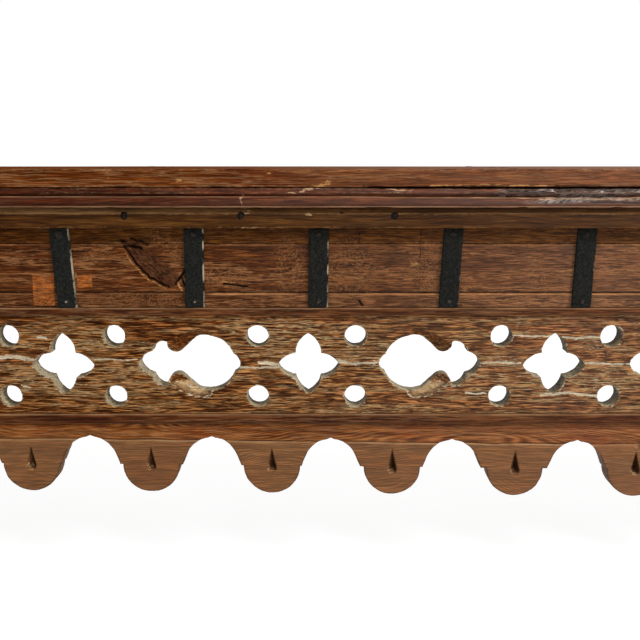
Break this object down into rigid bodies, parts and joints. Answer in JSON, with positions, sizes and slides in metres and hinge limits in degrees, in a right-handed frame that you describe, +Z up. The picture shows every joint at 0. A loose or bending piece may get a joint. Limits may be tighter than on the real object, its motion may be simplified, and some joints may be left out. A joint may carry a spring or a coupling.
{
  "type": "long bench",
  "caption": "Long free-standing hardwood bench with a moulded cornice, an iron-strapped frieze, a pierced fretwork board and a scalloped apron.",
  "frame": {"origin": "on the floor, under the middle of the seat", "axes": "+X along the length to the right, -Y out of the carved front, +Z up"},
  "size_m": [1.96, 0.36, 0.47],
  "materials": {
    "seat_wood": "worn waxed hardwood, orange-brown, open grain",
    "cornice_wood": "waxed hardwood, dark red-brown, worn bright along the bead",
    "frieze_wood": "waxed hardwood, pinkish red-brown, gouged and cracked",
    "patch_wood": "newer orange-brown repair wood, waxed",
    "moulding_wood": "waxed hardwood, reddish, worn light on the top arris",
    "fret_wood": "weathered hardwood, golden brown, pale residue in the grain",
    "apron_wood": "waxed hardwood, red-orange above, brown on the lobes",
    "frame_wood": "sawn hardwood, dull brown",
    "leg_wood": "waxed hardwood, dark brown",
    "peg_wood": "end grain of split hardwood pegs",
    "dark_peg": "nearly black peg heads, smooth",
    "strap_iron": "black hammered iron, pitted, dull sheen",
    "nail_iron": "hand-forged nail heads, rubbed"
  },
  "bodies": {
    "root": {"seat_plank_front": "seat_wood", "seat_plank_middle": "seat_wood", "seat_plank_back": "seat_wood", "front_bead_moulding": "cornice_wood", "left_bead_moulding": "cornice_wood", "right_bead_moulding": "cornice_wood", "front_fascia": "cornice_wood", "left_fascia": "cornice_wood", "right_fascia": "cornice_wood", "frieze_top_strip": "frieze_wood", "frieze_board": "frieze_wood", "frieze_bottom_strip": "frieze_wood", "frieze_patch_large": "patch_wood", "frieze_patch_small": "patch_wood", "upper_fret_moulding": "moulding_wood", "lower_fret_moulding": "moulding_wood", "fretwork_board": "fret_wood", "scalloped_apron": "apron_wood", "front_rail": "frame_wood", "back_rail": "frame_wood", "left_end_rail": "frame_wood", "right_end_rail": "frame_wood", "seat_bearer_01": "frame_wood", "seat_bearer_02": "frame_wood", "seat_bearer_03": "frame_wood", "seat_bearer_04": "frame_wood", "front_left_leg": "leg_wood", "front_right_leg": "leg_wood", "back_left_leg": "leg_wood", "back_right_leg": "leg_wood", "tenon_pegs": "peg_wood", "fret_dowels": "peg_wood", "apron_dowels": "peg_wood", "fascia_pegs": "dark_peg", "iron_strap_01": "strap_iron", "iron_strap_02": "strap_iron", "iron_strap_03": "strap_iron", "iron_strap_04": "strap_iron", "iron_strap_05": "strap_iron", "iron_strap_06": "strap_iron", "iron_strap_07": "strap_iron", "iron_strap_08": "strap_iron", "iron_strap_09": "strap_iron", "iron_strap_10": "strap_iron", "iron_strap_11": "strap_iron", "iron_strap_12": "strap_iron", "iron_strap_13": "strap_iron", "seat_nails": "nail_iron", "strap_nails": "nail_iron", "board_nails": "nail_iron"}
  },
  "joints": []
}
